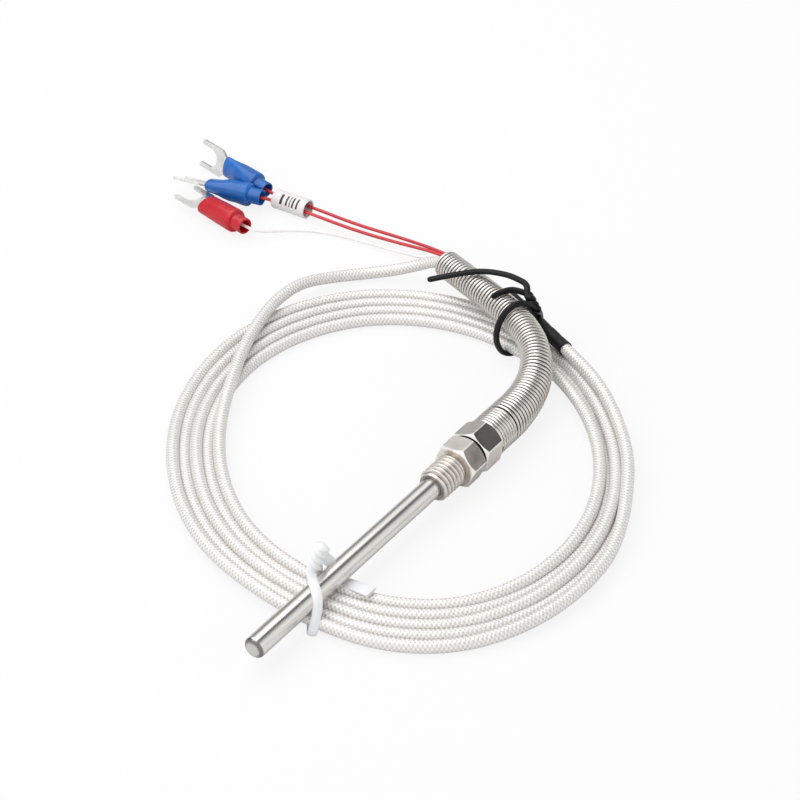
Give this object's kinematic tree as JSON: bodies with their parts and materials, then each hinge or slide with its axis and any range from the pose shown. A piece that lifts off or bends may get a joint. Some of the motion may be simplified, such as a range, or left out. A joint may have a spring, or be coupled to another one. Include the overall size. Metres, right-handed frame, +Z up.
{
  "type": "resistance temperature probe",
  "caption": "Sheathed resistance temperature probe with a screwed gland, a strain-relief spring and a coiled, braided cable ending in insulated fork terminals.",
  "frame": {"origin": "on the floor, below the centre of the box of the probe, its spring and its ties, without the cable", "axes": "+Z up from the floor, +Y away from the viewer, +X to the right; the probe points to the front left"},
  "size_m": [0.1162, 0.2009, 0.0163],
  "materials": {
    "sheath_steel": "drawn stainless steel, fine lengthwise grain",
    "fitting_steel": "turned stainless steel, bright",
    "spring_steel": "bright spring wire",
    "ceramic": "fired ceramic, matt",
    "filler": "packed powder, matt",
    "potting": "cured resin",
    "lead_metal": "bare precious-metal wire",
    "solder": "solder bead",
    "cable_jacket": "clear jacket over a fine metal braid",
    "wire_red": "red wire insulation",
    "wire_white": "white wire insulation",
    "shrink_black": "heat-shrink tube",
    "marker_white": "white marker tube",
    "boot_blue": "blue vinyl boot",
    "boot_red": "red vinyl boot",
    "tinned": "tin-plated copper",
    "tie_black": "plastic-covered tie wire",
    "tie_white": "plastic-covered tie strip"
  },
  "bodies": {
    "probe": {"sheath_tube": "sheath_steel", "sensing_element": "ceramic", "tip_filler": "filler", "lead_insulator": "ceramic", "element_lead_live": "lead_metal", "element_lead_return": "lead_metal", "solder_joint": "solder", "core_red_1": "wire_red", "core_red_2": "wire_red", "core_white": "wire_white", "rear_potting": "potting", "retaining_collar": "fitting_steel", "spring_nut": "fitting_steel", "strain_spring": "spring_steel", "cable_in_spring": "cable_jacket", "cable_lead_out": "cable_jacket", "cable_coil": "cable_jacket", "cable_lead_in": "cable_jacket", "heat_shrink_sleeve": "shrink_black", "red_wire_1": "wire_red", "red_wire_2": "wire_red", "white_wire": "wire_white", "marker_sleeve": "marker_white", "fork_terminal_blue_far": "tinned", "fork_terminal_blue_near": "tinned", "fork_terminal_red": "tinned", "boot_blue_far": "boot_blue", "boot_blue_near": "boot_blue", "boot_red": "boot_red", "white_tie": "tie_white", "black_tie": "tie_black"},
    "gland": {"gland_screw": "fitting_steel"}
  },
  "joints": [
    {"name": "gland_spin", "type": "hinge", "parent": "probe", "child": "gland", "pos_m": [0.00977, -0.00748, 0.00585], "axis": [0.5838, 0.8119, 0], "continuous": true}
  ]
}
